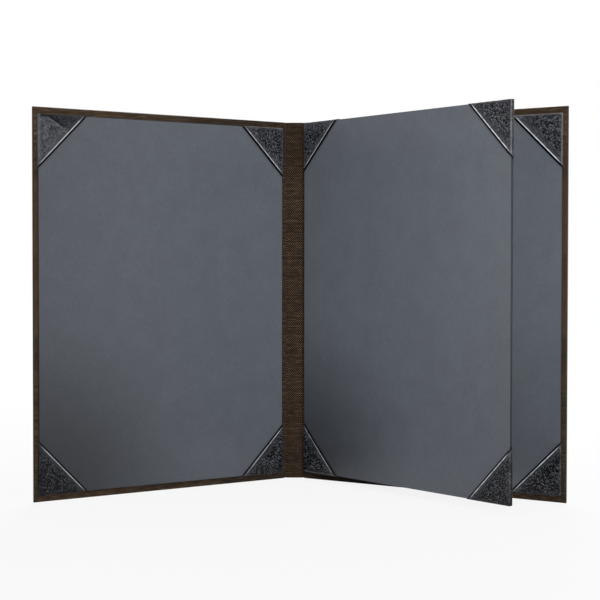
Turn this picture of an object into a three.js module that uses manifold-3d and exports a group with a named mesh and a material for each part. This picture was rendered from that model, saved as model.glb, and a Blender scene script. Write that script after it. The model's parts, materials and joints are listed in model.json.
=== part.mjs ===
// A stiff cloth-covered menu cover standing open on its lower edges.
// Two boards and a narrow spine are wrapped in woven cloth. Each board carries a smooth liner panel with
// four leatherette corner pockets, and a stiff two-sided leaf is hinged beside the back panel.
// Millimetres, +Z up. The reader stands on the -Y side, the front cover is on the left (-X) and the
// back cover on the right (+X). The origin is the centre of the spine's bottom face.

import * as THREE from 'three';
import Module from 'manifold-3d';
import { mergeVertices } from 'three/addons/utils/BufferGeometryUtils.js';

const wasm = await Module();
wasm.setup();

// Cover and panel sizes
const COVER_H = 296;
const PANEL_W = 221;
const PANEL_H = 285;
const OUTER_BORDER = 3.5;
const HINGE_BORDER = 3.8;
const LEAF_W = 223;
const LEAF_H = 287;
const LEAF_RAISE = 3;
const CORNER_LEG = 39.5;
const HEM_W = 4;

// Material thicknesses
const CLOTH_T = 0.4;
const BOARD_T = 2;
const SPINE_CARD_T = 0.8;
const LINING_T = 0.4;
const STRIP_T = 0.3;
const PANEL_T = 0.8;
const LEATHER_T = 0.4;

// Clearances
const GLUE_LINE = 0.05;
const HEM_CLEARANCE = 0.1;
const CLOSED_CLEARANCE = 0.3;
const FOLD_CLEARANCE = 0.45;
const WALL_CLEARANCE = 0.1;

// Widths of what is glued under the panels
const TURN_IN_W = 15;
const LINING_OVERLAP = 12;
const LINING_END_INSET = 2;
const STRIP_OVERLAP = 12;
const STRIP_END_INSET = 4;
const LEAF_HINGE_GAP = 1.6;
const BOARD_EDGE_R = 0.6;

// Angles at rest, measured from lying flat
const FRONT_LIFT_DEG = 33;
const BACK_LIFT_DEG = 34;
const LEAF_LIFT_DEG = 52;

// Sides: which way a cover runs from its hinge along X
const FRONT = -1;
const BACK = 1;

// Layers of a cover, as distances inward from its outer face
const BOARD_BACK = CLOTH_T + GLUE_LINE;
const BOARD_FACE = BOARD_BACK + BOARD_T;
const TURN_IN_BACK = BOARD_FACE + GLUE_LINE;
const TURN_IN_FACE = TURN_IN_BACK + CLOTH_T;
const LINING_BACK = TURN_IN_FACE + GLUE_LINE;
const LINING_FACE = LINING_BACK + LINING_T;
const STRIP_BACK = LINING_FACE + GLUE_LINE;
const STRIP_FACE = STRIP_BACK + STRIP_T;
const HEM_BACK = PANEL_T + HEM_CLEARANCE;
const POCKET_ROOM = HEM_BACK + LEATHER_T;
const POCKET_DEPTH = POCKET_ROOM + LEATHER_T;
const FRONT_PANEL_BACK = LINING_FACE + GLUE_LINE;
const BACK_PANEL_BACK = STRIP_FACE + GLUE_LINE;

// Layers of the spine, as distances inward from its outer face
const SPINE_CARD_BACK = CLOTH_T + GLUE_LINE;
const SPINE_CARD_FACE = SPINE_CARD_BACK + SPINE_CARD_T;
const SPINE_TURN_IN_BACK = SPINE_CARD_FACE + GLUE_LINE;
const SPINE_TURN_IN_FACE = SPINE_TURN_IN_BACK + CLOTH_T;
const SPINE_LINING_BACK = SPINE_TURN_IN_FACE + GLUE_LINE;
const SPINE_LINING_FACE = SPINE_LINING_BACK + LINING_T;

// The hinges stand as far apart as the closed stack of cover, leaf and cover is thick
const LEAF_HALF_T = STRIP_T / 2 + GLUE_LINE + POCKET_DEPTH;
const BACK_STACK = BACK_PANEL_BACK + POCKET_DEPTH;
const LEAF_AXIS_IN = BACK_STACK + CLOSED_CLEARANCE + LEAF_HALF_T;
const FRONT_STACK = FRONT_PANEL_BACK + POCKET_DEPTH;
const HINGE_SPACING = LEAF_AXIS_IN + LEAF_HALF_T + CLOSED_CLEARANCE + FRONT_STACK;
const HINGE_X = HINGE_SPACING / 2;

// Distances outward from a cover's hinge axis
const CLOTH_START = FOLD_CLEARANCE;
const BOARD_START = SPINE_LINING_FACE + FOLD_CLEARANCE;
const PANEL_START = BOARD_START + HINGE_BORDER;
const PANEL_END = PANEL_START + PANEL_W;
const COVER_END = PANEL_END + OUTER_BORDER;
const POCKET_WALL = WALL_CLEARANCE + LEATHER_T;
const LEAF_AXIS_OUT = PANEL_START - POCKET_WALL - FOLD_CLEARANCE - STRIP_T / 2;

// Heights
const PANEL_BOTTOM = (COVER_H - PANEL_H) / 2;
const LEAF_BOTTOM = (COVER_H - LEAF_H) / 2 + LEAF_RAISE;

const CLOTH = new THREE.MeshStandardMaterial({ color: 0x3c2e24, roughness: 0.95, metalness: 0 });
const LINER = new THREE.MeshStandardMaterial({ color: 0x5a5e66, roughness: 0.55, metalness: 0 });
const LEATHERETTE = new THREE.MeshStandardMaterial({ color: 0x1e1e20, roughness: 0.5, metalness: 0 });
const GREYBOARD = new THREE.MeshStandardMaterial({ color: 0x8a8377, roughness: 0.9, metalness: 0 });

const degrees = THREE.MathUtils.degToRad;

// An upright plate drawn as an outline across (x) and up (y), thickened inward, towards -Y
function plateFromOutline(points, inFrom, inTo, edge = 0) {
  const outline = new THREE.Shape(points.map(([x, y]) => new THREE.Vector2(x, y)));
  const geometry = new THREE.ExtrudeGeometry(outline, {
    depth: inTo - inFrom - 2 * edge,
    bevelEnabled: edge > 0,
    bevelThickness: edge,
    bevelSize: edge,
    bevelOffset: -edge,
    bevelSegments: 2,
  });
  geometry.translate(0, 0, inFrom + edge);
  return geometry.rotateX(Math.PI / 2);
}

// A rectangular plate: out, in and up are [from, to] pairs, with out counted away from the hinge
function plate(side, out, inward, up, edge = 0) {
  const x = [side * out[0], side * out[1]];
  const corners = [[x[0], up[0]], [x[1], up[0]], [x[1], up[1]], [x[0], up[1]]];
  return plateFromOutline(corners, inward[0], inward[1], edge);
}

function toSolid(geometry) {
  const bare = geometry.clone();
  bare.deleteAttribute('normal');
  bare.deleteAttribute('uv');
  const merged = mergeVertices(bare);
  return new wasm.Manifold(new wasm.Mesh({
    numProp: 3,
    vertProperties: new Float32Array(merged.attributes.position.array),
    triVerts: new Uint32Array(merged.index.array),
  }));
}

function toGeometry(solid) {
  const mesh = solid.getMesh();
  const geometry = new THREE.BufferGeometry();
  geometry.setAttribute('position', new THREE.BufferAttribute(new Float32Array(mesh.vertProperties), 3));
  geometry.setIndex(new THREE.BufferAttribute(new Uint32Array(mesh.triVerts), 1));
  const faceted = geometry.toNonIndexed();
  faceted.computeVertexNormals();
  return faceted;
}

function cut(body, ...tools) {
  return toGeometry(tools.reduce((solid, tool) => solid.subtract(toSolid(tool)), toSolid(body)));
}

function join(...parts) {
  return toGeometry(parts.slice(1).reduce((solid, part) => solid.add(toSolid(part)), toSolid(parts[0])));
}

function piece(name, geometry, material) {
  const mesh = new THREE.Mesh(geometry, material);
  mesh.name = name;
  return mesh;
}

// Anything longer than the part it cuts through
const PAST = 20;

// Cloth drawn round a board: outer face, three wrapped edges and the turn-ins on the inside
function coverCloth(side) {
  const body = plate(side, [CLOTH_START - PAST, COVER_END], [0, TURN_IN_FACE], [0, COVER_H], BOARD_EDGE_R);
  const beyondFold = plate(side, [-2 * PAST, CLOTH_START], [-PAST, PAST], [-PAST, COVER_H + PAST]);
  const boardRoom = plate(
    side,
    [-PAST, COVER_END - CLOTH_T],
    [CLOTH_T, TURN_IN_BACK],
    [CLOTH_T, COVER_H - CLOTH_T],
  );
  const window = plate(
    side,
    [-PAST, COVER_END - TURN_IN_W],
    [CLOTH_T, PAST],
    [TURN_IN_W, COVER_H - TURN_IN_W],
  );
  const foldRelief = plate(side, [-PAST, BOARD_START], [CLOTH_T, PAST], [-PAST, COVER_H + PAST]);
  return cut(body, beyondFold, boardRoom, window, foldRelief);
}

function coverBoard(side) {
  const edge = CLOTH_T + GLUE_LINE;
  return plate(side, [BOARD_START, COVER_END - edge], [BOARD_BACK, BOARD_FACE], [edge, COVER_H - edge]);
}

function hingeLining(side) {
  return plate(
    side,
    [BOARD_START, PANEL_START + LINING_OVERLAP],
    [LINING_BACK, LINING_FACE],
    [LINING_END_INSET, COVER_H - LINING_END_INSET],
  );
}

// One corner pocket: a leather triangle across a panel's corner, with a wall down each panel edge and its
// long free edge folded under as a hem. toOut and toUp point out of the panel at that corner, and facing
// is 1 where the panel faces inward, -1 where it faces the other way.
function cornerPocket(side, cornerOut, cornerUp, toOut, toUp, panelBack, facing) {
  const at = (out, up) => [side * (cornerOut + toOut * out), cornerUp + toUp * up];
  const span = (from, to) => (facing > 0 ? [panelBack + from, panelBack + to] : [panelBack - to, panelBack - from]);
  const reach = CORNER_LEG + POCKET_WALL;
  const far = reach + PAST;
  const inner = WALL_CLEARANCE;
  const hemStart = CORNER_LEG - HEM_W * Math.SQRT2;
  const leather = [at(-reach, POCKET_WALL), at(POCKET_WALL, POCKET_WALL), at(POCKET_WALL, -reach)];
  const panelRoom = [at(-far, inner), at(inner, inner), at(inner, -far), at(-far, -far)];
  const pocketRoom = [at(-hemStart, inner), at(inner, inner), at(inner, -hemStart)];
  return cut(
    plateFromOutline(leather, ...span(0, POCKET_DEPTH)),
    plateFromOutline(panelRoom, ...span(-PAST, HEM_BACK)),
    plateFromOutline(pocketRoom, ...span(-PAST, POCKET_ROOM)),
  );
}

// A liner panel's rectangle, written as distances from the hinge and heights
function panelArea(start, width, bottom, height) {
  return { inner: start, outer: start + width, bottom, top: bottom + height };
}

function panelWithPockets(prefix, side, area, panelBack, facing) {
  const group = new THREE.Group();
  const faces = facing > 0 ? [panelBack, panelBack + PANEL_T] : [panelBack - PANEL_T, panelBack];
  const slab = plate(side, [area.inner, area.outer], faces, [area.bottom, area.top]);
  group.add(piece(`${prefix}_panel`, slab, LINER));
  for (const [column, out, toOut] of [['hinge', area.inner, -1], ['outer', area.outer, 1]]) {
    for (const [row, up, toUp] of [['lower', area.bottom, -1], ['upper', area.top, 1]]) {
      const pocket = cornerPocket(side, out, up, toOut, toUp, panelBack, facing);
      group.add(piece(`${prefix}_${row}_${column}_corner`, pocket, LEATHERETTE));
    }
  }
  return group;
}

function coverGroup(name, side, liftDegrees, panelBack) {
  const group = new THREE.Group();
  const area = panelArea(PANEL_START, PANEL_W, PANEL_BOTTOM, PANEL_H);
  group.add(piece(`${name}_cover_cloth`, coverCloth(side), CLOTH));
  group.add(piece(`${name}_cover_board`, coverBoard(side), GREYBOARD));
  group.add(piece(`${name}_hinge_lining`, hingeLining(side), CLOTH));
  group.add(panelWithPockets(name, side, area, panelBack, 1));
  group.position.x = side * HINGE_X;
  group.rotation.z = -side * degrees(liftDegrees);
  return group;
}

// The leaf's cloth strip where it is glued under the back panel and rises beside the panel's edge
function leafHingeTab() {
  const up = [LEAF_BOTTOM + STRIP_END_INSET, LEAF_BOTTOM + LEAF_H - STRIP_END_INSET];
  const riserFrom = LEAF_AXIS_OUT - STRIP_T / 2;
  const tab = plate(BACK, [riserFrom, PANEL_START + STRIP_OVERLAP], [STRIP_BACK, STRIP_FACE], up);
  const riser = plate(BACK, [riserFrom, riserFrom + STRIP_T], [STRIP_BACK, LEAF_AXIS_IN - FOLD_CLEARANCE], up);
  return join(tab, riser);
}

// The leaf about its own hinge axis: two panels back to back with the hinge strip between them
function leafGroup() {
  const group = new THREE.Group();
  const area = panelArea(LEAF_HINGE_GAP, LEAF_W, LEAF_BOTTOM, LEAF_H);
  const half = STRIP_T / 2;
  const strip = plate(
    BACK,
    [FOLD_CLEARANCE, LEAF_HINGE_GAP + STRIP_OVERLAP],
    [-half, half],
    [LEAF_BOTTOM + STRIP_END_INSET, LEAF_BOTTOM + LEAF_H - STRIP_END_INSET],
  );
  group.add(piece('leaf_hinge_strip', strip, CLOTH));
  group.add(panelWithPockets('leaf_front', BACK, area, half + GLUE_LINE, 1));
  group.add(panelWithPockets('leaf_back', BACK, area, -half - GLUE_LINE, -1));
  group.position.set(LEAF_AXIS_OUT, -LEAF_AXIS_IN, 0);
  group.rotation.z = -degrees(LEAF_LIFT_DEG - BACK_LIFT_DEG);
  return group;
}

// The spine: a narrow card between the hinges, wrapped in the case cloth and lined inside
function spineGroup() {
  const group = new THREE.Group();
  const halfWidth = HINGE_X - FOLD_CLEARANCE;
  const cardHalfWidth = halfWidth - GLUE_LINE;
  const edge = CLOTH_T + GLUE_LINE;
  const body = plate(1, [-halfWidth, halfWidth], [0, SPINE_TURN_IN_FACE], [0, COVER_H]);
  const cardRoom = plate(1, [-PAST, PAST], [CLOTH_T, SPINE_TURN_IN_BACK], [CLOTH_T, COVER_H - CLOTH_T]);
  const window = plate(1, [-PAST, PAST], [CLOTH_T, PAST], [TURN_IN_W, COVER_H - TURN_IN_W]);
  const card = plate(1, [-cardHalfWidth, cardHalfWidth], [SPINE_CARD_BACK, SPINE_CARD_FACE], [edge, COVER_H - edge]);
  const lining = plate(
    1,
    [-halfWidth, halfWidth],
    [SPINE_LINING_BACK, SPINE_LINING_FACE],
    [LINING_END_INSET, COVER_H - LINING_END_INSET],
  );
  group.add(piece('spine_cloth', cut(body, cardRoom, window), CLOTH));
  group.add(piece('spine_card', card, GREYBOARD));
  group.add(piece('spine_lining', lining, CLOTH));
  return group;
}

const menuCover = new THREE.Group();
const backCover = coverGroup('back', BACK, BACK_LIFT_DEG, BACK_PANEL_BACK);
backCover.add(piece('leaf_hinge_tab', leafHingeTab(), CLOTH));
backCover.add(leafGroup());
menuCover.add(spineGroup());
menuCover.add(coverGroup('front', FRONT, FRONT_LIFT_DEG, FRONT_PANEL_BACK));
menuCover.add(backCover);
menuCover.position.y = SPINE_TURN_IN_FACE / 2;

export default menuCover;
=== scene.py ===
"""A cloth-covered menu cover standing open: woven cloth case, satin liner panels, leatherette corners.

Lengths are metres, and MM turns millimetres into metres. A name that ends in _MM holds millimetres, and one
that ends in _PER_MM a rate. Each cover and the leaf has a local frame: out runs from its hinge to its free
edge, inward runs from its outer face towards the reader, and up is +Z.
"""

import json
import math
from collections import namedtuple

import bmesh
import bpy
import numpy as np
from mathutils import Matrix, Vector


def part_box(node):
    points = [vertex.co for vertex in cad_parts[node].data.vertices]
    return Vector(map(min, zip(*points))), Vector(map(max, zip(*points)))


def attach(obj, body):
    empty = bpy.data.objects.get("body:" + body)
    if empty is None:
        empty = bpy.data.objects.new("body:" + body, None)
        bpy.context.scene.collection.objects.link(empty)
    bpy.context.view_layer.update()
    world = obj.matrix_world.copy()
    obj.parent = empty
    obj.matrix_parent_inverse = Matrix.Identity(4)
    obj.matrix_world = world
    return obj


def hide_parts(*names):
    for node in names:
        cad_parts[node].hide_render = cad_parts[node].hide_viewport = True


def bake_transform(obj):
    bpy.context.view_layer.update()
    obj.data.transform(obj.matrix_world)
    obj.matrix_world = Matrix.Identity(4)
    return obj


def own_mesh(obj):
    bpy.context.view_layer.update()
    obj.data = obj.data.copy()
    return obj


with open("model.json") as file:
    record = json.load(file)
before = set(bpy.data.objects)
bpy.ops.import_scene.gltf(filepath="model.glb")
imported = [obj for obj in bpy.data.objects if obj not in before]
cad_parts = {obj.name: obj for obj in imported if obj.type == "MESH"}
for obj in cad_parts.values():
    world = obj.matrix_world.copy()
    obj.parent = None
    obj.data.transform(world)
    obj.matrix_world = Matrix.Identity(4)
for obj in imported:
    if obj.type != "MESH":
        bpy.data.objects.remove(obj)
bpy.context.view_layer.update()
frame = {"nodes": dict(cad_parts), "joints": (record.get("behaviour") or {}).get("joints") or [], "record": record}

MM = 0.001
FRONT = -1
BACK = 1

# Sizes that the solids also have
CLOTH_T = 0.4 * MM
LEATHER_T = 0.4 * MM
STRIP_T = 0.3 * MM
WALL_CLEARANCE = 0.1 * MM
CORNER_LEG = 39.5 * MM

# Camera: the photograph's viewpoint, with its focal length and centre line in pixels of a 600 pixel frame
FRAME_PX = 600
FOCAL_PX = 1446
CENTRE_LINE_PX = 236.3
EYE = Vector((-48.5, -1206, 179)) * MM
EYE_PITCH = 0.0252
SENSOR_MM = 36


# Local frames


class Leaf:
    """A flat piece that swings about a vertical hinge: places points given as out, inward and up."""

    def __init__(self, hinge, side, lift):
        self.hinge = Vector((hinge[0], hinge[1], 0))
        self.out = Vector((side * math.cos(lift), -math.sin(lift), 0))
        self.inward = Vector((-side * math.sin(lift), -math.cos(lift), 0))

    def point(self, out, inward, up):
        return self.hinge + out * self.out + inward * self.inward + Vector((0, 0, up))

    def points(self, outs, inwards, ups):
        """The same for arrays of out, inward and up, as one array of places."""
        places = np.outer(outs, self.out) + np.outer(inwards, self.inward)
        return places + np.array(self.hinge) + np.outer(ups, (0, 0, 1))

    def local(self, place):
        offset = place - self.hinge
        return Vector((offset.dot(self.out), offset.dot(self.inward), offset.z))

    def extent(self, node):
        """Lowest and highest out, inward and up of a CAD node."""
        places = [self.local(v.co) for v in frame["nodes"][node].data.vertices]
        low = Vector([min(p[i] for p in places) for i in range(3)])
        high = Vector([max(p[i] for p in places) for i in range(3)])
        return low, high


joints = {joint["name"]: joint for joint in frame["joints"]}
front_lift = -math.radians(joints["front_cover_hinge"]["range_deg"][0])
back_lift = -math.radians(joints["back_cover_hinge"]["range_deg"][0])
leaf_lift = back_lift + math.radians(joints["leaf_hinge"]["range_deg"][1])
front_plane = Leaf(joints["front_cover_hinge"]["pos_m"], FRONT, front_lift)
back_plane = Leaf(joints["back_cover_hinge"]["pos_m"], BACK, back_lift)
leaf_plane = Leaf(joints["leaf_hinge"]["pos_m"], BACK, leaf_lift)


# Mesh helpers


def new_object(name, vertices, faces, material, smooth=True):
    mesh = bpy.data.meshes.new(name)
    mesh.from_pydata([tuple(v) for v in vertices], [], faces)
    mesh.validate()
    mesh.update()
    mesh.materials.append(material)
    mesh.polygons.foreach_set("use_smooth", [smooth] * len(mesh.polygons))
    made = bpy.data.objects.new(name, mesh)
    bpy.context.collection.objects.link(made)
    return made


def set_uv(made, uv_of_vertex, layer_name="sheet_mm"):
    """Gives each loop the UV of its vertex, in millimetres of cloth or leather."""
    layer = made.data.uv_layers.new(name=layer_name)
    vertex_of_loop = np.zeros(len(made.data.loops), np.int32)
    made.data.loops.foreach_get("vertex_index", vertex_of_loop)
    layer.data.foreach_set("uv", np.asarray(uv_of_vertex, np.float32)[vertex_of_loop].ravel())


def set_levels(made, layer_name, level_of_vertex):
    layer = made.data.attributes.new(layer_name, "FLOAT", "POINT")
    layer.data.foreach_set("value", np.asarray(level_of_vertex, np.float32))


def apply_modifiers(made):
    depsgraph = bpy.context.evaluated_depsgraph_get()
    mesh = bpy.data.meshes.new_from_object(made.evaluated_get(depsgraph))
    made.modifiers.clear()
    made.data = mesh


def face_outward(made):
    """Turns every face of a closed mesh outward."""
    work = bmesh.new()
    work.from_mesh(made.data)
    bmesh.ops.recalc_face_normals(work, faces=work.faces)
    work.to_mesh(made.data)
    work.free()


def thick_sheet(name, grid, uv, normals, thickness, material):
    """A closed sheet. grid and normals are (rows, columns, 3) arrays of its outer face, and its thickness
    lies behind that face."""
    rows, columns = grid.shape[:2]
    count = rows * columns
    outer = grid.reshape(-1, 3)
    inner = (grid - normals * thickness).reshape(-1, 3)
    quads = []
    for r in range(rows - 1):
        for c in range(columns - 1):
            a = r * columns + c
            quads.append((a, a + 1, a + columns + 1, a + columns))
            quads.append((count + a, count + a + columns, count + a + columns + 1, count + a + 1))
    rim = list(range(columns))
    rim += [r * columns + columns - 1 for r in range(1, rows)]
    rim += [(rows - 1) * columns + c for c in range(columns - 2, -1, -1)]
    rim += [r * columns for r in range(rows - 2, 0, -1)]
    for a, b in zip(rim, rim[1:] + rim[:1]):
        quads.append((a, count + a, count + b, b))
    made = new_object(name, np.vstack([outer, inner]), quads, material)
    set_uv(made, np.vstack([uv.reshape(-1, 2)] * 2))
    face_outward(made)
    return made


# Node helpers


def material_nodes(name):
    made = bpy.data.materials.new(name)
    made.use_nodes = True
    tree = made.node_tree
    return made, tree, tree.nodes["Principled BSDF"]


def set_inputs(node, **levels):
    """Sets input sockets by name, with an underscore for each space."""
    for socket, level in levels.items():
        node.inputs[socket.replace("_", " ")].default_value = level


def add_node(tree, kind, **levels):
    node = tree.nodes.new(kind)
    set_inputs(node, **levels)
    return node


def feed(tree, socket, value):
    """Links another node's output to a socket, or sets the socket to a plain value."""
    if isinstance(value, bpy.types.NodeSocket):
        tree.links.new(value, socket)
    else:
        socket.default_value = value


def maths(tree, operation, a, b=None, c=None, clamp=False):
    node = tree.nodes.new("ShaderNodeMath")
    node.operation = operation
    node.use_clamp = clamp
    for socket, value in zip(node.inputs, (a, b, c)):
        if value is not None:
            feed(tree, socket, value)
    return node.outputs[0]


def times(tree, a, b, clamp=False):
    return maths(tree, "MULTIPLY", a, b, clamp=clamp)


def times_plus(tree, a, factor, added, clamp=False):
    return maths(tree, "MULTIPLY_ADD", a, factor, added, clamp=clamp)


def vector_maths(tree, operation, a, b):
    node = tree.nodes.new("ShaderNodeVectorMath")
    node.operation = operation
    feed(tree, node.inputs[0], a)
    feed(tree, node.inputs[1], b)
    return node.outputs["Value"]


def scale_colour(tree, colour, factor):
    node = tree.nodes.new("ShaderNodeVectorMath")
    node.operation = "SCALE"
    tree.links.new(colour, node.inputs[0])
    tree.links.new(factor, node.inputs["Scale"])
    return node.outputs[0]


def linear(colour):
    """Scene-linear RGBA of an sRGB colour, or of a grey level, given as 0 to 255 levels."""
    levels = colour if isinstance(colour, tuple) else (colour,) * 3
    channels = [level / 255 for level in levels]
    return tuple(c / 12.92 if c <= 0.04045 else ((c + 0.055) / 1.055) ** 2.4 for c in channels) + (1,)


def ramp(tree, factor, stops):
    """A colour ramp; stops are (position, sRGB colour or grey level) pairs."""
    node = tree.nodes.new("ShaderNodeValToRGB")
    elements = node.color_ramp.elements
    while len(elements) < len(stops):
        elements.new(0.5)
    for element, (position, colour) in zip(elements, stops):
        element.position = position
        element.color = linear(colour)
    tree.links.new(factor, node.inputs[0])
    return node.outputs[0]


def noise(tree, place, scale, detail=2.0, roughness=0.5):
    node = add_node(tree, "ShaderNodeTexNoise", Scale=scale, Detail=detail, Roughness=roughness)
    tree.links.new(place, node.inputs["Vector"])
    return node.outputs["Fac"]


def mix_colours(tree, factor, a, b, blend="MIX"):
    node = tree.nodes.new("ShaderNodeMix")
    node.data_type = "RGBA"
    node.blend_type = blend
    sockets = {socket.identifier: socket for socket in node.inputs}
    feed(tree, sockets["Factor_Float"], factor)
    feed(tree, sockets["A_Color"], a)
    feed(tree, sockets["B_Color"], b)
    return next(socket for socket in node.outputs if socket.identifier == "Result_Color")


def bump(tree, height, distance, strength, base=None):
    node = add_node(tree, "ShaderNodeBump", Strength=strength, Distance=distance)
    tree.links.new(height, node.inputs["Height"])
    if base is not None:
        tree.links.new(base, node.inputs["Normal"])
    return node.outputs["Normal"]


def smooth_step(tree, value, start, end, low, high):
    """Runs smoothly from low at start to high at end, and stays level beyond them."""
    node = tree.nodes.new("ShaderNodeMapRange")
    node.interpolation_type = "SMOOTHSTEP"
    tree.links.new(value, node.inputs["Value"])
    set_inputs(node, From_Min=start, From_Max=end, To_Min=low, To_Max=high)
    return node.outputs[0]


def band(tree, value, middle, half_width):
    """1 in the middle of a band of values, fading to 0 at its borders."""
    away = maths(tree, "ABSOLUTE", maths(tree, "SUBTRACT", value, middle))
    return maths(tree, "SUBTRACT", 1.0, maths(tree, "DIVIDE", away, half_width), clamp=True)


def object_place(tree):
    return tree.nodes.new("ShaderNodeTexCoord").outputs["Object"]


def towards(tree, direction):
    """How far the surface faces a direction of the CAD frame: 1 straight at it, 0 across, -1 away."""
    normal = tree.nodes.new("ShaderNodeTexCoord").outputs["Normal"]
    return vector_maths(tree, "DOT_PRODUCT", normal, direction)


def sheet_place(tree, layer_name="sheet_mm"):
    node = tree.nodes.new("ShaderNodeUVMap")
    node.uv_map = layer_name
    return node.outputs[0]


def vertex_level(tree, layer_name):
    node = tree.nodes.new("ShaderNodeAttribute")
    node.attribute_name = layer_name
    return node.outputs["Fac"]


def split_axes(tree, vector):
    node = tree.nodes.new("ShaderNodeSeparateXYZ")
    tree.links.new(vector, node.inputs[0])
    return node.outputs[0], node.outputs[1]


def join_axes(tree, x, y):
    node = tree.nodes.new("ShaderNodeCombineXYZ")
    tree.links.new(x, node.inputs[0])
    tree.links.new(y, node.inputs[1])
    return node.outputs[0]


# Book cloth

THREAD_MM = 0.98
WARP_WANDER_MM = 0.5
WEFT_WANDER_MM = 0.4
SLUB_STRETCH = 0.07
UNDER_HEIGHT = 0.38
WEFT_COLOURS = ((0.3, (92, 72, 53)), (0.5, (122, 97, 73)), (0.7, (160, 134, 106)))
WARP_COLOURS = ((0.3, (12, 7, 4)), (0.5, (19, 13, 8)), (0.7, (38, 28, 19)))
# Painted shade: the weave's colour darkens to black in the gaps between threads
GAP_PAINTED_SHADE_LEVELS = ((0.45, 0), (0.75, 120), (0.95, 255))
PATCH_SHADES = ((0.35, 150), (0.65, 255))
PATCH_SHARE = 0.35
THREAD_RELIEF = 0.16 * MM
FIBRE_RELIEF = 0.03 * MM

# The cloth is lighter towards a cover's free edge
FADE_FROM_MM = 30
FADE_TO_MM = 225
FRONT_FADE = 1.3
BACK_FADE = 0.4


def thread_profile(tree, place):
    """Height across a set of parallel threads: 1 on a thread's crown, 0 between two threads."""
    turned = times(tree, place, math.pi / THREAD_MM)
    return maths(tree, "ABSOLUTE", maths(tree, "SINE", turned))


def thread_number(tree, place):
    return maths(tree, "FLOOR", maths(tree, "DIVIDE", place, THREAD_MM))


def crossed(tree, profile, on_top):
    """A thread's height where it passes over its neighbour, and lower where it passes under."""
    return times(tree, profile, times_plus(tree, on_top, 1 - UNDER_HEIGHT, UNDER_HEIGHT))


def plain_weave(tree, place):
    """The colour and the height of a plain weave, light slubby weft over and under dark warp, with painted shade
    darkening the gaps between threads.
    """
    wander = noise(tree, place, scale=0.35, detail=2)
    out, up = split_axes(tree, place)
    across = times_plus(tree, wander, WARP_WANDER_MM, out)
    along = times_plus(tree, wander, WEFT_WANDER_MM, up)
    column, row = thread_number(tree, across), thread_number(tree, along)
    parity = maths(tree, "MODULO", maths(tree, "ADD", column, row), 2)
    warp_on_top = maths(tree, "ABSOLUTE", parity)
    weft_on_top = maths(tree, "SUBTRACT", 1.0, warp_on_top)

    weft_slubs = join_axes(tree, times(tree, across, SLUB_STRETCH), row)
    warp_slubs = join_axes(tree, column, times(tree, along, SLUB_STRETCH))
    weft_colour = ramp(tree, noise(tree, weft_slubs, scale=1.7, detail=1), WEFT_COLOURS)
    warp_colour = ramp(tree, noise(tree, warp_slubs, scale=1.9, detail=1), WARP_COLOURS)

    warp_height = crossed(tree, thread_profile(tree, across), warp_on_top)
    weft_height = crossed(tree, thread_profile(tree, along), weft_on_top)
    height = maths(tree, "MAXIMUM", warp_height, weft_height)
    thread = mix_colours(tree, warp_on_top, weft_colour, warp_colour)
    # Painted shade in the gaps between threads
    return mix_colours(tree, 1.0, thread, ramp(tree, height, GAP_PAINTED_SHADE_LEVELS), "MULTIPLY"), height


def case_cloth_material(name, fade=0.0, inward=None):
    """Brown book cloth. On the side that faces inward, it is lighter by fade at a cover's free edge."""
    made, tree, shader = material_nodes(name)
    place = sheet_place(tree)
    colour, height = plain_weave(tree, place)
    patches = ramp(tree, noise(tree, place, scale=0.02, detail=3), PATCH_SHADES)
    dyed = mix_colours(tree, PATCH_SHARE, colour, patches, "MULTIPLY")
    if fade:
        side = times(tree, towards(tree, inward), 1.0, clamp=True)
        out, _ = split_axes(tree, place)
        reach = smooth_step(tree, out, FADE_FROM_MM, FADE_TO_MM, 0.0, fade)
        dyed = scale_colour(tree, dyed, times_plus(tree, reach, side, 1.0))
    tree.links.new(dyed, shader.inputs["Base Color"])
    set_inputs(shader, Roughness=0.82, Specular_IOR_Level=0.1, Sheen_Weight=0.08, Sheen_Roughness=0.5)
    fibres = bump(tree, noise(tree, place, scale=9, detail=2), FIBRE_RELIEF, strength=0.5)
    tree.links.new(bump(tree, height, THREAD_RELIEF, 0.9, fibres), shader.inputs["Normal"])
    return made


# Liner card

CARD_COLOURS = ((0.3, (94, 98, 106)), (0.7, (100, 105, 113)))
CARD_TOOTH_SHADES = ((0.3, 236), (0.7, 255))
CARD_TOOTH_SHARE = 0.8
CARD_SPECKS = ((0.80, 0), (0.86, 255))
CARD_SPECK_COLOUR = linear((118, 122, 128))
CARD_EDGE_COLOUR = linear((24, 24, 26))
CARD_ROUGHNESS = ((0.3, 150), (0.7, 165))
CARD_RELIEF = 0.02 * MM
# Painted shade on the liner: darkest at the shaded corner, fading out between these distances from it
CARD_SHADE_DARKEST = 0.38
CARD_SHADE_FROM = 20 * MM
CARD_SHADE_TO = 145 * MM
FACE_LIMIT = 0.7


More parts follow.
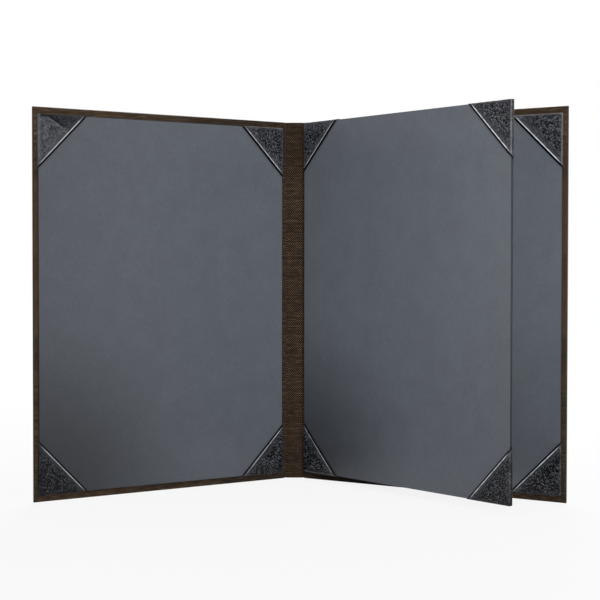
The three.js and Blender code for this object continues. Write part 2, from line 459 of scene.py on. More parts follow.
def liner_material(name, shaded_corner, inward):
    """Satin slate-grey liner card with a fine even tooth and black cut edges, and painted shade that darkens it
    towards one lower corner.
    """
    made, tree, shader = material_nodes(name)
    place = object_place(tree)
    cloud = noise(tree, place, scale=60, detail=5, roughness=0.65)
    tooth = noise(tree, place, scale=420, detail=3, roughness=0.6)
    speck = noise(tree, place, scale=300, detail=1)
    fine = ramp(tree, tooth, CARD_TOOTH_SHADES)
    toned = mix_colours(tree, CARD_TOOTH_SHARE, ramp(tree, cloud, CARD_COLOURS), fine, "MULTIPLY")
    speckled = mix_colours(tree, ramp(tree, speck, CARD_SPECKS), toned, CARD_SPECK_COLOUR)

    # Painted shade: the card darkens smoothly towards its shaded lower corner
    away = vector_maths(tree, "DISTANCE", place, shaded_corner)
    painted_shade = smooth_step(tree, away, CARD_SHADE_FROM, CARD_SHADE_TO, CARD_SHADE_DARKEST, 1.0)
    shaded = scale_colour(tree, speckled, painted_shade)
    cut_edge = maths(tree, "LESS_THAN", maths(tree, "ABSOLUTE", towards(tree, inward)), FACE_LIMIT)
    tree.links.new(mix_colours(tree, cut_edge, shaded, CARD_EDGE_COLOUR), shader.inputs["Base Color"])
    tree.links.new(ramp(tree, cloud, CARD_ROUGHNESS), shader.inputs["Roughness"])
    set_inputs(shader, Specular_IOR_Level=0.35)
    tree.links.new(bump(tree, tooth, CARD_RELIEF, strength=0.35), shader.inputs["Normal"])
    return made


# Leatherette. A band is its middle and its half width, in millimetres in from a pocket's diagonal fold or
# from the panel's edges. An OVER pair is a factor and an addition.

GRAINS_PER_MM = 1.3
GRAIN_DRIFT_MM = 0.45
# Grain colours: real grain, with painted highlights on the crowns and painted shade in the valleys
GRAIN_AND_HIGHLIGHT_COLOURS = ((0.1, (12, 12, 14)), (0.32, (54, 55, 60)), (0.75, (168, 171, 180)))
GRAIN_ROUNDNESS = 2.0
GRAIN_SHARE = 0.55
LEATHER_PATCH_SHARE = 0.5
LEATHER_DARKEST = 0.27
SMOOTH_LEVEL = 0.42
SMOOTH_BAND = (-0.5, 3.0)
# How each pocket's painted light and shade shift the grains' level and contrast
PAINTED_LIGHT_STEP = 0.4
CONTRAST_STEP = -0.7
CONTRAST_BASE = 1.75
# Painted light on the ridge just behind the fold
SWELL_BAND = (1.0, 6.0)
SWELL_LIGHT_SHARE = 0.4
SWELL_LIGHT_COLOUR = linear((86, 89, 98))
# Painted highlight: a bright line along the crest of the diagonal fold
CREST_BAND = (1.5, 0.5)
CREST_HIGHLIGHT_COLOUR = linear((238, 240, 244))
CREST_RISE_PER_MM = 0.22
CREST_OVER_STREAKS = (3.0, -0.6)
# Painted highlight on the rims of the pockets painted lightest
RIM_BAND = (-0.3, 0.9)
RIM_OVER_PATCHES = (1.3, -0.15)
RIM_OVER_OFF_PAINTED_LIGHT = (-2.0, 1.0)
RIM_HIGHLIGHT_COLOUR = linear((126, 120, 118))
# Painted highlight on the crease ridges
CREASE_HIGHLIGHT_SHARE = 0.95
CREASE_HIGHLIGHT_COLOUR = linear((150, 152, 156))
# Painted shadow: near black along the fold's edge and on the hem under it
FOLD_SHADOW_BELOW_MM = 1.1
FOLD_SHADOW_SLOPE = -8.0
FOLD_SHADOW_COLOUR = linear((4, 4, 5))
LEATHER_ROUGHNESS = ((0.3, 100), (0.7, 140))
PEBBLE_RELIEF = 0.16 * MM
PORE_RELIEF = 0.03 * MM


def leather_grains(tree, place, from_rim, painted_light, patch):
    """The grains' colour and height: real grain, with painted highlights on the crowns and painted shade in the
    valleys. A pocket with less painted light is darker with more contrast, and one with more is lighter and
    smoother.
    """
    drift = add_node(tree, "ShaderNodeTexNoise", Scale=0.9, Detail=2.0)
    tree.links.new(place, drift.inputs["Vector"])
    drifted = tree.nodes.new("ShaderNodeVectorMath")
    drifted.operation = "MULTIPLY_ADD"
    tree.links.new(drift.outputs["Color"], drifted.inputs[0])
    drifted.inputs[1].default_value = (GRAIN_DRIFT_MM,) * 3
    tree.links.new(place, drifted.inputs[2])
    cells = add_node(tree, "ShaderNodeTexVoronoi", Scale=GRAINS_PER_MM, Randomness=1.0)
    tree.links.new(drifted.outputs[0], cells.inputs["Vector"])
    crown = maths(tree, "SUBTRACT", 1.0, cells.outputs["Distance"], clamp=True)

    chance = tree.nodes.new("ShaderNodeSeparateColor")
    tree.links.new(cells.outputs["Color"], chance.inputs[0])
    base = times_plus(tree, patch, LEATHER_PATCH_SHARE, LEATHER_DARKEST)
    lit = times_plus(tree, chance.outputs[0], GRAIN_SHARE, base)
    coarse = maths(tree, "POWER", crown, GRAIN_ROUNDNESS)
    to_smooth = maths(tree, "SUBTRACT", SMOOTH_LEVEL, coarse)
    smoothed = times_plus(tree, band(tree, from_rim, *SMOOTH_BAND), to_smooth, coarse)
    shift = times_plus(tree, painted_light, PAINTED_LIGHT_STEP, -PAINTED_LIGHT_STEP)
    contrast = times_plus(tree, painted_light, CONTRAST_STEP, CONTRAST_BASE)
    level = times_plus(tree, times(tree, lit, smoothed), contrast, shift)
    return ramp(tree, level, GRAIN_AND_HIGHLIGHT_COLOURS), crown


def leather_painted_light(tree, place, grains, from_fold, from_rim, painted_light, patch):
    """The grains' colour with painted light on the swell by the fold, painted highlights on the rims, creases and
    fold crest, and painted shadow along the fold's edge and on the hem tucked under it. Rim highlights are painted
    only on the pockets with the most painted light, the upper ones."""
    streaks = noise(tree, place, scale=0.3, detail=3)
    # Painted light: a lighter band on the ridge just behind the fold
    swell = times(tree, band(tree, from_fold, *SWELL_BAND), SWELL_LIGHT_SHARE)
    # Painted highlight along the fold's crest, broken up by streaks and fading out near the rims
    highlight_breakup = times_plus(tree, streaks, *CREST_OVER_STREAKS, clamp=True)
    crest_highlight = times(tree, band(tree, from_fold, *CREST_BAND), highlight_breakup)
    crest_highlight = times(tree, crest_highlight, times(tree, from_rim, CREST_RISE_PER_MM, clamp=True))
    # Painted highlight on the rims, only on the pockets with the most painted light, the upper ones
    off_painted_light = maths(tree, "ABSOLUTE", maths(tree, "SUBTRACT", painted_light, 1.0))
    rim = times(tree, band(tree, from_rim, *RIM_BAND), times_plus(tree, patch, *RIM_OVER_PATCHES))
    rim = times(tree, rim, times_plus(tree, off_painted_light, *RIM_OVER_OFF_PAINTED_LIGHT, clamp=True), clamp=True)
    # Painted highlight on the crease ridges
    creased = times(tree, vertex_level(tree, "crease"), times(tree, streaks, CREASE_HIGHLIGHT_SHARE), clamp=True)
    # Painted shadow: near black along the fold's edge and on the hem turned under it
    fold_shadow = times(tree, maths(tree, "SUBTRACT", from_fold, FOLD_SHADOW_BELOW_MM), FOLD_SHADOW_SLOPE, clamp=True)

    lit_and_shaded = grains
    for share, colour in (
        (swell, SWELL_LIGHT_COLOUR),
        (rim, RIM_HIGHLIGHT_COLOUR),
        (creased, CREASE_HIGHLIGHT_COLOUR),
        (crest_highlight, CREST_HIGHLIGHT_COLOUR),
        (fold_shadow, FOLD_SHADOW_COLOUR),
    ):
        lit_and_shaded = mix_colours(tree, share, lit_and_shaded, colour)
    return lit_and_shaded


def leatherette_material():
    """Black pebbled leatherette: grains with painted highlights and shade, painted highlights along the folds,
    creases and upper rims, painted shadow by the folds, and painted light and shade by each pocket's place.
    """
    made, tree, shader = material_nodes("pebbled_leatherette")
    place = sheet_place(tree)
    from_fold, from_rim = split_axes(tree, sheet_place(tree, "edges_mm"))
    painted_light = vertex_level(tree, "painted_light")
    patch = noise(tree, place, scale=0.1, detail=2)
    grains, crown = leather_grains(tree, place, from_rim, painted_light, patch)
    lit_and_shaded = leather_painted_light(tree, place, grains, from_fold, from_rim, painted_light, patch)
    tree.links.new(lit_and_shaded, shader.inputs["Base Color"])
    pores = noise(tree, place, scale=6, detail=3)
    tree.links.new(ramp(tree, pores, LEATHER_ROUGHNESS), shader.inputs["Roughness"])
    set_inputs(shader, Specular_IOR_Level=0.12)
    pebbles = bump(tree, crown, PEBBLE_RELIEF, strength=0.7)
    tree.links.new(bump(tree, pores, PORE_RELIEF, 0.4, pebbles), shader.inputs["Normal"])
    return made


# Greyboard

BOARD_COLOURS = ((0.3, (112, 105, 94)), (0.7, (150, 143, 130)))
BOARD_RELIEF = 0.05 * MM


def greyboard_material():
    """Recycled greyboard, seen only where an edge shows."""
    made, tree, shader = material_nodes("greyboard_core")
    flecks = noise(tree, object_place(tree), scale=600, detail=4, roughness=0.7)
    tree.links.new(ramp(tree, flecks, BOARD_COLOURS), shader.inputs["Base Color"])
    set_inputs(shader, Roughness=0.9)
    tree.links.new(bump(tree, flecks, BOARD_RELIEF, strength=0.5), shader.inputs["Normal"])
    return made


# Materials of the CAD nodes

case_cloth = case_cloth_material("woven_case_cloth")
front_cloth = case_cloth_material("woven_front_cover_cloth", FRONT_FADE, front_plane.inward)
back_cloth = case_cloth_material("woven_back_cover_cloth", BACK_FADE, back_plane.inward)
leatherette = leatherette_material()

MATERIAL_OF_SLOT = {
    "case_cloth": case_cloth,
    "greyboard": greyboard_material(),
    "leatherette": leatherette,
}

# Each panel's plane, and which of its lower corners gets the liner's painted shade
PANELS = {
    "front_panel": (front_plane, "outer"),
    "back_panel": (back_plane, "hinge"),
    "leaf_front_panel": (leaf_plane, "hinge"),
    "leaf_back_panel": (leaf_plane, "outer"),
}


def panel_card(node):
    plane, column = PANELS[node]
    low, high = plane.extent(node)
    corner = plane.point(high.x if column == "outer" else low.x, (low.y + high.y) / 2, low.z)
    return liner_material(f"liner_card_{node}", corner, plane.inward)


def dress_cad_nodes():
    """Every CAD node takes the scene's material for its record slot."""
    for part in frame["record"]["subparts"]:
        name = part["node"]
        material = panel_card(name) if name in PANELS else MATERIAL_OF_SLOT[part["material_slot"]]
        frame["nodes"][name].data.materials.clear()
        frame["nodes"][name].data.materials.append(material)


# Leatherette corner pockets

GRID_MM = 0.5
ROLL_MM = 2.5
EDGE_RADIUS_MM = 0.95
TOP_MM = 0.9
LEAST_WALL_MM = 0.01

# The pillow over the room for the sheets is full this far in from the panel's edges and from the fold.
# It has a slow wave, in radians per millimetre along each edge and radians per seed.
PILLOW_MM = 0.28
EDGE_EASE_MM = 9
FOLD_EASE_MM = 7
FOLD_SWELL = 0.35
WAVE_SHARE = 0.3
WAVE_RADIANS = (0.19, 0.13, 1.7)

# The ridge just behind the diagonal fold, and the hem turned under it
RIDGE_MM = 0.3
RIDGE_IN_MM = 0.9
RIDGE_W_MM = 0.8
RIDGE_EASE_MM = 2
HEM_RADIUS_MM = 0.42
HEM_STEPS = 7
HEM_UNDER_MM = (0.8, 2.0, 3.6)
HEM_EASE_MM = 0.8
HEM_LEAST = 0.25

# Creases run between two points of the leather, each with its width and its height, and wander to the side
# on a sine
CREASE_MM = 0.4
CREASE_WANDER_MM = 0.7
CREASE_WANDER_RADIANS = 9
CREASES = (
    ((2, 1), (26, 12), 0.5, 1.0),
    ((16, 8.5), (24.5, 14.5), 0.45, 0.8),
    ((12, 7), (22, 16.5), 0.45, -0.7),
    ((2, 3), (10, 20), 0.6, 0.35),
)

# Painted light and shade on each pocket's leather: lighter above, darker below. The creased one has painted shadow
# on one side of its longest crease.
UPPER_PAINTED_LIGHT = 1.0
LOWER_PAINTED_LIGHT = 0.6
SHADED_PAINTED_LIGHT = 0.35
CREASED_PAINTED_LIGHT = 1.6
CREASE_SHADOW_SLOPE = 0.47
CREASE_SHADOW_REACH_MM = 0.8

# The lower pockets' painted fold shadow and painted light by the fold sit this far nearer the fold
LOWER_FOLD_MARKS_SHIFT_MM = 0.2
UV_STEP_MM = (17.0, 11.0)

# Where a pocket goes: its panel's plane, the panel's corner, which way out and up that corner points (1 or
# -1), where the panel's face is, which way it faces (1 is inward) and how thick the panel is
Spot = namedtuple("Spot", "plane out up to_out to_up face facing panel_t")


def roll_profile(distance, drop_end):
    """How far out and down a sheet has gone after rolling over an edge by distance, in millimetres."""
    quarter = EDGE_RADIUS_MM * math.pi / 2
    angle = np.clip(distance / EDGE_RADIUS_MM, 0, math.pi / 2)
    straight = max(drop_end - EDGE_RADIUS_MM, LEAST_WALL_MM)
    fall = np.clip((distance - quarter) / (ROLL_MM - quarter), 0, 1) * straight
    return EDGE_RADIUS_MM * np.sin(angle), EDGE_RADIUS_MM * (1 - np.cos(angle)) + fall


def crease(a, b, start, end, width):
    """A soft ridge between two points of the leather, 1 on its line and 0 beyond its width."""
    start, end = np.array(start, float), np.array(end, float)
    axis = end - start
    length = np.linalg.norm(axis)
    along = ((a - start[0]) * axis[0] + (b - start[1]) * axis[1]) / length**2
    away = ((a - start[0]) * axis[1] - (b - start[1]) * axis[0]) / length
    away = away + CREASE_WANDER_MM * np.sin(along * CREASE_WANDER_RADIANS + start[0])
    fade = np.clip(along, 0, 1) * np.clip(1 - along, 0, 1) * 4
    return np.exp(-(away / width) ** 2) * np.where((along > 0) & (along < 1), fade, 0)


def pocket_layout(leg):
    """A pocket's flat sheet in millimetres: each point's distances along the panel's two edges from their
    corner, how far past the fold the point is, and the faces. The hem lies only between the panel's edges,
    and its ends are mitred."""
    steps = int(round((leg + 2 * ROLL_MM) / GRID_MM))
    index, pattern, past_fold = {}, [], []
    for i in range(steps + 1):
        for j in range(steps + 1 - i):
            index[i, j] = len(pattern)
            pattern.append((i * GRID_MM - ROLL_MM, j * GRID_MM - ROLL_MM))
            past_fold.append(0.0)
    turn = math.pi * HEM_RADIUS_MM
    hem = [turn * k / HEM_STEPS for k in range(1, HEM_STEPS + 1)] + [turn + w for w in HEM_UNDER_MM]
    skip = int(ROLL_MM / GRID_MM) + 1
    columns = range(skip, steps + 1 - skip)
    rows = [[index[i, steps - i] for i in columns]]
    half = leg / 2 - (skip * GRID_MM - ROLL_MM)
    for beyond in hem:
        mitre = 1 - max(beyond - turn, 0) / math.sqrt(2) / half
        row = []
        for i in columns:
            along = (i - steps / 2) * GRID_MM * mitre
            row.append(len(pattern))
            pattern.append((leg / 2 + along, leg / 2 - along))
            past_fold.append(beyond)
        rows.append(row)
    faces = []
    for i in range(steps):
        for j in range(steps - i):
            faces.append((index[i, j], index[i + 1, j], index[i, j + 1]))
            if j < steps - i - 1:
                faces.append((index[i + 1, j], index[i + 1, j + 1], index[i, j + 1]))
    for near, far in zip(rows, rows[1:]):
        for k in range(len(columns) - 1):
            faces.append((near[k], near[k + 1], far[k + 1], far[k]))
    return np.array(pattern), np.array(past_fold), faces


def pocket_rise(a, b, from_fold, creased, seed):
    """How far the leather stands above its flat level, and the height of its creases, from 0 to 1."""
    inside = np.clip(np.minimum(a, b) / EDGE_EASE_MM, 0, 1)
    behind_fold = np.clip(from_fold / FOLD_EASE_MM, 0, 1)
    by_fold = FOLD_SWELL + (1 - FOLD_SWELL) * np.sin(behind_fold * math.pi / 2)
    swell = np.sin(inside * math.pi / 2) * by_fold
    wave = 0.5 + 0.5 * np.sin(WAVE_RADIANS[0] * a + WAVE_RADIANS[1] * b + WAVE_RADIANS[2] * seed)
    rise = PILLOW_MM * swell * (1 - WAVE_SHARE + WAVE_SHARE * wave)
    ridge = np.exp(-(((from_fold - RIDGE_IN_MM) / RIDGE_W_MM) ** 2))
    rise = rise + RIDGE_MM * ridge * np.clip(np.minimum(a, b) / RIDGE_EASE_MM, 0, 1)
    folds = np.zeros_like(a)
    if creased:
        for first, last, width, height in CREASES:
            folds = folds + height * crease(a, b, first, last, width)
        rise = rise + CREASE_MM * folds * inside
    return rise, folds


def pocket_points(leg, panel_t, creased, seed):
    """Outer-face points of a pocket in its own frame, in millimetres: the first two axes run from the
    panel's corner along its edges, and the third stands off the panel's face. Returns the places, the
    pattern's coordinates, the distances in from the fold and from the panel's edges, the height of the
    creases, and the faces."""
    pattern, past_fold, faces = pocket_layout(leg)
    a, b = pattern.T
    start = EDGE_RADIUS_MM - (WALL_CLEARANCE + LEATHER_T) / MM
    over_a, over_b = np.clip(start - a, 0, None), np.clip(start - b, 0, None)
    distance = np.maximum(over_a, over_b)
    theta = np.arctan2(over_b, over_a)
    out, down = roll_profile(distance, TOP_MM + panel_t)
    x = np.maximum(a, start) - out * np.cos(theta) * (distance > 0)
    y = np.maximum(b, start) - out * np.sin(theta) * (distance > 0)
    from_fold = (leg - a - b) / math.sqrt(2)
    rise, folds = pocket_rise(a, b, from_fold, creased, seed)

    turn = np.clip(past_fold / HEM_RADIUS_MM, 0, math.pi)
    beyond = HEM_RADIUS_MM * np.sin(turn) - np.clip(past_fold - math.pi * HEM_RADIUS_MM, 0, None)
    under = HEM_RADIUS_MM * (1 - np.cos(turn)) * np.clip(1 - down / HEM_EASE_MM, HEM_LEAST, 1)
    x = x + beyond / math.sqrt(2)
    y = y + beyond / math.sqrt(2)
    places = np.stack([x, y, TOP_MM - down + rise - under], 1)
    edges = np.stack([from_fold - past_fold, np.minimum(a, b)], 1)
    return places, np.stack([a, b + past_fold], 1), edges, folds, faces


def build_pocket(name, spot, painted_light, creased, seed):
    """One pocket on a panel's corner. painted_light is how much painted light or shade its leather gets."""
    leg, panel_t = CORNER_LEG / MM, spot.panel_t / MM
    places, pattern, edges, folds, faces = pocket_points(leg, panel_t, creased, seed)
    vertices = spot.plane.points(
        spot.out - spot.to_out * places[:, 0] * MM,
        spot.face + spot.facing * places[:, 2] * MM,
        spot.up - spot.to_up * places[:, 1] * MM,
    )
    made = new_object(name, vertices, faces, leatherette)
    set_uv(made, pattern + np.array(UV_STEP_MM) * seed)
    set_uv(made, edges + np.array((LOWER_FOLD_MARKS_SHIFT_MM if spot.to_up < 0 else 0, 0)), "edges_mm")
    set_levels(made, "crease", np.clip(folds, 0, 1))
    painted_lights = np.full(len(folds), painted_light)
    # Painted shadow on one side of the longest crease, painted light on the other
    if creased:
        past_crease = pattern[:, 1] - CREASE_SHADOW_SLOPE * pattern[:, 0]
        painted_lights = np.interp(past_crease, (-CREASE_SHADOW_REACH_MM, CREASE_SHADOW_REACH_MM), (SHADED_PAINTED_LIGHT, painted_light))
    set_levels(made, "painted_light", painted_lights)
    made.data.update()
    face_on_top = made.data.polygons[len(faces) // 3]
    if face_on_top.normal.dot(spot.plane.inward) * spot.facing < 0:
        made.data.flip_normals()
    thicken = made.modifiers.new("leather", "SOLIDIFY")
    thicken.thickness = LEATHER_T
    thicken.offset = -1
    thicken.use_even_offset = False
    apply_modifiers(made)
    return made


def pocket_seed(prefix, c, r):
    """A small number for each pocket, different within a panel."""
    return 1 + 2 * c + r + 4 * sum(ord(letter) for letter in prefix) % 13


def panel_pockets(prefix, plane, body, facing, creased_corner=None):
    """The four pockets of one panel, each attached to its body."""
    low, high = plane.extent(f"{prefix}_panel")
    shaded_column = PANELS[f"{prefix}_panel"][1]
    face = high[1] if facing > 0 else low[1]
    columns = (("hinge", low[0], -1), ("outer", high[0], 1))
    rows = (("lower", low[2], -1), ("upper", high[2], 1))
    for c, (column, out, to_out) in enumerate(columns):
        for r, (row, up, to_up) in enumerate(rows):
            node = f"{prefix}_{row}_{column}_corner"
            creased = (row, column) == creased_corner
            # Painted light and shade by place: upper pockets lighter, lower ones darker, darkest under the liner's
            # painted shade
            painted_light = CREASED_PAINTED_LIGHT if creased else UPPER_PAINTED_LIGHT
            if row == "lower":
                painted_light = SHADED_PAINTED_LIGHT if column == shaded_column else LOWER_PAINTED_LIGHT
            spot = Spot(plane, out, up, to_out, to_up, face, facing, high[1] - low[1])
            made = build_pocket(f"pocket_{node}", spot, painted_light, creased, pocket_seed(prefix, c, r))
            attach(made, body)
            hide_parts(node)
            anchor = plane.point(out, face, up)
            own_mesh(made)


# Case cloth: outer face, wrapped edges and turn-ins, running on through the hinge folds

FOLD_LOOPS = 9
FOLD_REACH_SHARE = 2.6
STRIP_ROW = 6 * MM
EDGE_SOFTNESS = 0.12 * MM
WELD_REACH = 0.002 * MM
SOFT_ABOVE_DEG = 50

# A fold's cloth laps over the cloth beside it, and stands a hair proud of it
SEAM_OVERLAP = 0.8 * MM
SEAM_PROUD = 0.015 * MM


def fold_path(plane, side, level, spine_level, cover_from, spine_to):
    """Plan-view points from a cover through its hinge fold onto the spine, at a depth inward from the
    outer face. The two straight runs join on one smooth curve."""
    cover_end = plane.point(cover_from, level, 0)
    spine_end = Vector((side * spine_to, plane.hinge.y - spine_level, 0))
    reach = (cover_end - spine_end).length / FOLD_REACH_SHARE
    cover_pull = cover_end - plane.out * reach
    spine_pull = spine_end + Vector((side * reach, 0, 0))
    points = []
    for k in range(FOLD_LOOPS + 1):
        t = k / FOLD_LOOPS
        place = cover_end * (1 - t) ** 3 + cover_pull * 3 * t * (1 - t) ** 2
        place += spine_pull * 3 * t**2 * (1 - t)
        place += spine_end * t**3
        points.append(place)
    return points


def strip_along(name, path, bottom, top, thickness, away, cloth_from=0.0):
    """A closed cloth strip on a plan-view path, standing from bottom to top. away is the side of the path
    that its visible face looks to, and cloth_from the weave's place at the path's start, in millimetres."""
    rows = max(2, int((top - bottom) / STRIP_ROW))
    heights = np.linspace(bottom, top, rows)
    flat = np.array([[p.x, p.y] for p in path])
    tangents = np.gradient(flat, axis=0)
    tangents /= np.linalg.norm(tangents, axis=1)[:, None]
    normals = np.stack([tangents[:, 1], -tangents[:, 0]], 1)
    if normals.mean(0) @ np.array([away.x, away.y]) < 0:
        normals = -normals
    runs = np.linalg.norm(np.diff(flat, axis=0), axis=1)
    lengths = cloth_from - np.concatenate([[0], np.cumsum(runs)]) / MM
    grid = np.array([[(x, y, z) for x, y in flat] for z in heights])
    normal_grid = np.array([[(x, y, 0) for x, y in normals] for _ in heights])
    uv = np.array([[(u, z / MM) for u in lengths] for z in heights])
    return thick_sheet(name, grid, uv, normal_grid, thickness, case_cloth)


def plan_line(plane, level, from_out, to_out, count):
    return [plane.point(from_out + (to_out - from_out) * k / count, level, 0) for k in range(count + 1)]


def box_uv(made, plane):
    """Weave coordinates in millimetres: out and up on the faces, round the edges on the rest."""
    for layer in list(made.data.uv_layers):
        made.data.uv_layers.remove(layer)
    layer = made.data.uv_layers.new(name="sheet_mm")
    for polygon in made.data.polygons:
        normal = polygon.normal
        across, inward, up = abs(normal.dot(plane.out)), abs(normal.dot(plane.inward)), abs(normal.z)
        for loop in polygon.loop_indices:
            place = plane.local(made.data.vertices[made.data.loops[loop].vertex_index].co) / MM
            if inward >= max(across, up):
                layer.data[loop].uv = (place[0], place[2])
            elif across >= up:
                layer.data[loop].uv = (place[1], place[2])
            else:
                layer.data[loop].uv = (place[0], place[1])


def soften_edges(made, width):
    weld = made.modifiers.new("weld", "WELD")
    weld.merge_threshold = WELD_REACH
    bevel = made.modifiers.new("soft_edges", "BEVEL")
    bevel.width = width
    bevel.segments = 2
    bevel.limit_method = "ANGLE"
    bevel.angle_limit = math.radians(SOFT_ABOVE_DEG)
    apply_modifiers(made)


def cloth_piece(name, node, plane, body, material, soft_edged=False):
    """A cloth piece with a CAD node's form, and its weave running up and across."""
    made = bpy.data.objects.new(name, frame["nodes"][node].data.copy())
    bpy.context.collection.objects.link(made)
    made.data.materials.clear()
    made.data.materials.append(material)
    if soft_edged:
        soften_edges(made, EDGE_SOFTNESS)
        made.data.polygons.foreach_set("use_smooth", [False] * len(made.data.polygons))
    box_uv(made, plane)
    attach(made, body)
    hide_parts(node)


def hinge_fold(name, plane, side, cover_node, spine_node, faces_reader):
    """The cloth that crosses one hinge between a cover's cloth and the spine's cloth."""
    low, high = plane.extent(cover_node)
    spine_low, spine_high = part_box(spine_node)
    level, spine_level, away = -SEAM_PROUD, -SEAM_PROUD, Vector((0, 1, 0))
    if faces_reader:
        level = high[1] + SEAM_PROUD
        spine_level = plane.hinge.y - spine_low.y + SEAM_PROUD
        away = Vector((0, -1, 0))
    path = fold_path(plane, side, level, spine_level, low[0], spine_high.x)
    path.insert(0, plane.point(low[0] + SEAM_OVERLAP, level, 0))
    path.append(path[-1] - Vector((side * SEAM_OVERLAP, 0, 0)))
    made = strip_along(name, path, low[2], high[2], CLOTH_T, away, (low[0] + SEAM_OVERLAP) / MM)
    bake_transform(made)


def build_case():
    spine_plane = Leaf((0, front_plane.hinge.y), BACK, 0)
    cloth_piece("front_case_cloth", "front_cover_cloth", front_plane, "front_cover", front_cloth, True)
    cloth_piece("back_case_cloth", "back_cover_cloth", back_plane, "back_cover", back_cloth, True)
    cloth_piece("spine_case_cloth", "spine_cloth", spine_plane, "spine", case_cloth, True)
    for prefix, plane, side in (("front", front_plane, FRONT), ("back", back_plane, BACK)):
        body, lining = f"{prefix}_cover", f"{prefix}_hinge_lining"
        cloth_piece(f"{prefix}_lining_cloth", lining, plane, body, case_cloth)
        hinge_fold(f"{prefix}_outer_fold", plane, side, f"{prefix}_cover_cloth", "spine_cloth", False)
        hinge_fold(f"{prefix}_inner_fold", plane, side, lining, "spine_lining", True)
    cloth_piece("spine_lining_cloth", "spine_lining", spine_plane, "spine", case_cloth)


# The leaf's hinge: how many steps the strip's path has under the back panel, up beside it and in the leaf.
# The strip runs from the top of its upright part straight into the leaf.

TAB_STEPS = 8
RISE_STEPS = 6
LEAF_STEPS = 10


def build_leaf_hinge():
    """The leaf's cloth strip: glued flat under the back panel, up beside the panel's edge, into the leaf."""
    tab_low, tab_high = back_plane.extent("leaf_hinge_tab")
    strip_low, strip_high = leaf_plane.extent("leaf_hinge_strip")
    level = tab_low[1] + STRIP_T
    wall = tab_low[0] + STRIP_T
    under = plan_line(back_plane, level, tab_high[0], wall, TAB_STEPS)
    rise = [
        back_plane.point(wall, level + (tab_high[1] - level) * k / RISE_STEPS, 0)
        for k in range(1, RISE_STEPS + 1)
    ]
    into = plan_line(leaf_plane, STRIP_T / 2, strip_low[0], strip_high[0], LEAF_STEPS)
    away = Vector((0, -1, 0))
    made = strip_along("leaf_hinge_cloth", under + rise + into, tab_low[2], tab_high[2], STRIP_T, away)
    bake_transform(made)
    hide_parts("leaf_hinge_tab", "leaf_hinge_strip")


# Stage. A spot lamp has a place, a target, a cone in degrees and a power in watts; a softbox has a size
# instead of a cone.

LAMP_RADIUS = 0.15
SPOT_LAMPS = {
    "key_lamp": ((0.1, -1.6, 0.75), (0, -0.06, 0.21), 24, 60),
    "back_cover_lamp": ((0.25, -1.5, 0.6), (0.19, -0.12, 0.17), 16, 60),
}
SOFTBOXES = {
    "top_softbox": ((0.1, -0.35, 1.0), (0, -0.1, 0.15), (0.8, 0.45), 1.6),
    "rear_softbox": ((0.2, 1.3, 0.6), (0, -0.05, 0.15), (1.0, 0.8), 15),
}
WORLD_LEVEL = 0.3
FLOOR_SIZE = 8.0
FLOOR_GREY = 0.9
FLOOR_ROUGHNESS = 0.8
FLOOR_WHITE_SHARE = 0.85
FLOOR_FADE_PER_M = 0.9
FLOOR_FADE_EASE = 0.2


def add_lamp(name, data, place, target, power):
    data.energy = power
    lamp = bpy.data.objects.new(name, data)
    lamp.location = place
    lamp.rotation_euler = (Vector(target) - Vector(place)).to_track_quat("-Z", "Y").to_euler()
    bpy.context.collection.objects.link(lamp)


def build_lights():
    """Spot lamps whose light fades evenly from the middle of their cones, and softboxes."""
    for name, (place, target, cone, power) in SPOT_LAMPS.items():
        data = bpy.data.lights.new(name, "SPOT")
        data.spot_size = math.radians(cone)
        data.spot_blend = 1.0
        data.shadow_soft_size = LAMP_RADIUS
        add_lamp(name, data, place, target, power)
    for name, (place, target, size, power) in SOFTBOXES.items():
        data = bpy.data.lights.new(name, "AREA")
        data.shape = "RECTANGLE"
        data.size, data.size_y = size
        add_lamp(name, data, place, target, power)


def seen_directly(tree):
    """1 for camera, mirror and glass rays, 0 for light that falls on the object."""
    path = tree.nodes.new("ShaderNodeLightPath").outputs
    first = maths(tree, "MAXIMUM", path["Is Camera Ray"], path["Is Glossy Ray"])
    return maths(tree, "MAXIMUM", first, path["Is Transmission Ray"])


def build_world():
    world = bpy.data.worlds.new("studio")
    bpy.context.scene.world = world
    world.use_nodes = True
    tree = world.node_tree
    background = tree.nodes["Background"]
    set_inputs(background, Color=(1, 1, 1, 1))
    strength = times_plus(tree, seen_directly(tree), 1 - WORLD_LEVEL, WORLD_LEVEL)
    tree.links.new(strength, background.inputs["Strength"])


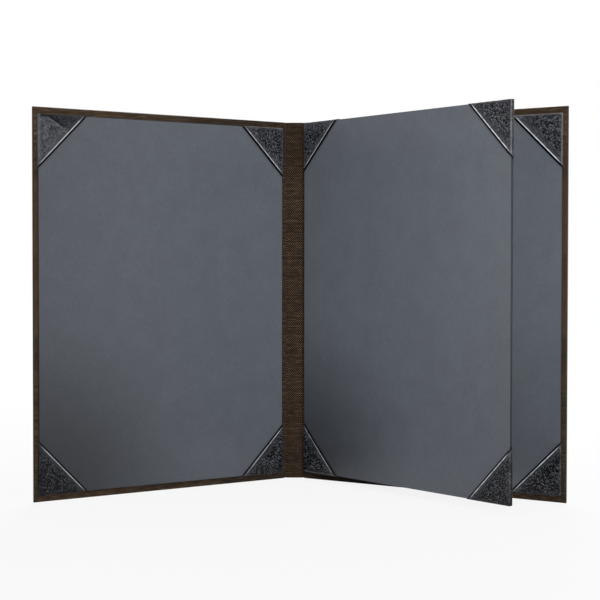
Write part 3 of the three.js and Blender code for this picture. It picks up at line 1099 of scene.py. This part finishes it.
def floor_material():
    """White studio floor that keeps the object's soft shadow and turns plain white away from it."""
    made, tree, shader = material_nodes("studio_floor")
    set_inputs(shader, Base_Color=(FLOOR_GREY, FLOOR_GREY, FLOOR_GREY, 1), Roughness=FLOOR_ROUGHNESS)
    glow = add_node(tree, "ShaderNodeEmission", Color=(1, 1, 1, 1))
    away = vector_maths(tree, "DISTANCE", object_place(tree), (0, 0, 0))
    far = maths(tree, "SMOOTH_MIN", times(tree, away, FLOOR_FADE_PER_M), 1.0, FLOOR_FADE_EASE)
    share = times_plus(tree, far, 1 - FLOOR_WHITE_SHARE, FLOOR_WHITE_SHARE, clamp=True)
    mix = tree.nodes.new("ShaderNodeMixShader")
    tree.links.new(times(tree, seen_directly(tree), share), mix.inputs[0])
    tree.links.new(shader.outputs[0], mix.inputs[1])
    tree.links.new(glow.outputs[0], mix.inputs[2])
    tree.links.new(mix.outputs[0], tree.nodes["Material Output"].inputs[0])
    return made


def build_floor():
    half = FLOOR_SIZE / 2
    corners = [(-half, -half, 0), (half, -half, 0), (half, half, 0), (-half, half, 0)]
    floor = new_object("floor", corners, [(0, 1, 2, 3)], floor_material(), smooth=False)


def build_camera():
    data = bpy.data.cameras.new("photo_camera")
    data.sensor_width = SENSOR_MM
    data.lens = FOCAL_PX / FRAME_PX * SENSOR_MM
    data.shift_x = (FRAME_PX / 2 - CENTRE_LINE_PX) / FRAME_PX
    camera = bpy.data.objects.new("photo_camera", data)
    camera.location = EYE
    camera.rotation_euler = (math.pi / 2 - EYE_PITCH, 0, 0)
    bpy.context.collection.objects.link(camera)
    bpy.context.scene.camera = camera
    bpy.context.scene.view_settings.view_transform = "Standard"


build_camera()
build_world()
build_floor()
build_lights()
dress_cad_nodes()
build_case()
build_leaf_hinge()
panel_pockets("front", front_plane, "front_cover", 1, ("upper", "outer"))
panel_pockets("back", back_plane, "back_cover", 1)
panel_pockets("leaf_front", leaf_plane, "leaf", 1)
panel_pockets("leaf_back", leaf_plane, "leaf", -1)
